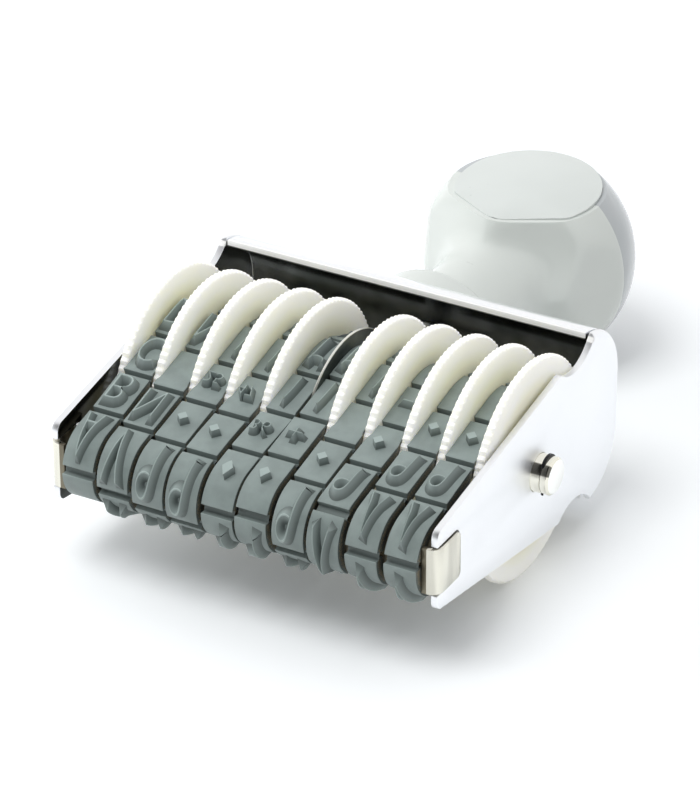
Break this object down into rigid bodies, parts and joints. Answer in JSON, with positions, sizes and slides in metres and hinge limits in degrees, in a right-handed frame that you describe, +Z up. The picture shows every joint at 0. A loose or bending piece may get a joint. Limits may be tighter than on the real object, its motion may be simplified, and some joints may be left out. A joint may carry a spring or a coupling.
{
  "type": "numbering stamp",
  "caption": "Hand-held numbering stamp: rubber type bands run from serrated thumb wheels round a print bridge in a bent steel frame with a knob handle.",
  "frame": {"origin": "on the surface the stamp lies on, under the middle of its bounding box", "axes": "+X along the axle, towards the side plate on the right when the print end faces the viewer; +Y from the print end to the knob; +Z up, with the stamp lying on its wheels and knob"},
  "size_m": [0.0762, 0.1196, 0.038],
  "materials": {
    "chrome_frame": "bright plated sheet",
    "nickel": "satin nickel plate",
    "spring_clip": "blued spring steel",
    "band_rubber": "matt grey rubber",
    "wheel_plastic": "ivory moulded plastic",
    "knob_plastic": "glossy light grey",
    "palm_plastic": "darker grey, semi-gloss",
    "label_plastic": "flat light grey, bare",
    "zinc_fastener": "zinc plate"
  },
  "bodies": {
    "stamp": {"frame": "chrome_frame", "axle": "nickel", "retaining_clip_left": "spring_clip", "retaining_clip_right": "spring_clip", "print_bridge": "nickel", "divider_plate": "nickel", "handle_body": "knob_plastic", "palm_cap": "palm_plastic", "label_plate": "label_plastic", "handle_screw": "zinc_fastener", "handle_washer": "zinc_fastener", "band_01": "band_rubber", "band_02": "band_rubber", "band_03": "band_rubber", "band_04": "band_rubber", "band_05": "band_rubber", "band_06": "band_rubber", "band_07": "band_rubber", "band_08": "band_rubber", "band_09": "band_rubber", "band_10": "band_rubber"},
    "wheel_01": {"wheel_01": "wheel_plastic"},
    "wheel_02": {"wheel_02": "wheel_plastic"},
    "wheel_03": {"wheel_03": "wheel_plastic"},
    "wheel_04": {"wheel_04": "wheel_plastic"},
    "wheel_05": {"wheel_05": "wheel_plastic"},
    "wheel_06": {"wheel_06": "wheel_plastic"},
    "wheel_07": {"wheel_07": "wheel_plastic"},
    "wheel_08": {"wheel_08": "wheel_plastic"},
    "wheel_09": {"wheel_09": "wheel_plastic"},
    "wheel_10": {"wheel_10": "wheel_plastic"}
  },
  "joints": [
    {"name": "wheel_01_turn", "type": "hinge", "parent": "stamp", "child": "wheel_01", "pos_m": [0, -0.02318, 0.019], "axis": [1, 0, 0], "continuous": true},
    {"name": "wheel_02_turn", "type": "hinge", "parent": "stamp", "child": "wheel_02", "pos_m": [0, -0.02318, 0.019], "axis": [1, 0, 0], "continuous": true},
    {"name": "wheel_03_turn", "type": "hinge", "parent": "stamp", "child": "wheel_03", "pos_m": [0, -0.02318, 0.019], "axis": [1, 0, 0], "continuous": true},
    {"name": "wheel_04_turn", "type": "hinge", "parent": "stamp", "child": "wheel_04", "pos_m": [0, -0.02318, 0.019], "axis": [1, 0, 0], "continuous": true},
    {"name": "wheel_05_turn", "type": "hinge", "parent": "stamp", "child": "wheel_05", "pos_m": [0, -0.02318, 0.019], "axis": [1, 0, 0], "continuous": true},
    {"name": "wheel_06_turn", "type": "hinge", "parent": "stamp", "child": "wheel_06", "pos_m": [0, -0.02318, 0.019], "axis": [1, 0, 0], "continuous": true},
    {"name": "wheel_07_turn", "type": "hinge", "parent": "stamp", "child": "wheel_07", "pos_m": [0, -0.02318, 0.019], "axis": [1, 0, 0], "continuous": true},
    {"name": "wheel_08_turn", "type": "hinge", "parent": "stamp", "child": "wheel_08", "pos_m": [0, -0.02318, 0.019], "axis": [1, 0, 0], "continuous": true},
    {"name": "wheel_09_turn", "type": "hinge", "parent": "stamp", "child": "wheel_09", "pos_m": [0, -0.02318, 0.019], "axis": [1, 0, 0], "continuous": true},
    {"name": "wheel_10_turn", "type": "hinge", "parent": "stamp", "child": "wheel_10", "pos_m": [0, -0.02318, 0.019], "axis": [1, 0, 0], "continuous": true}
  ]
}
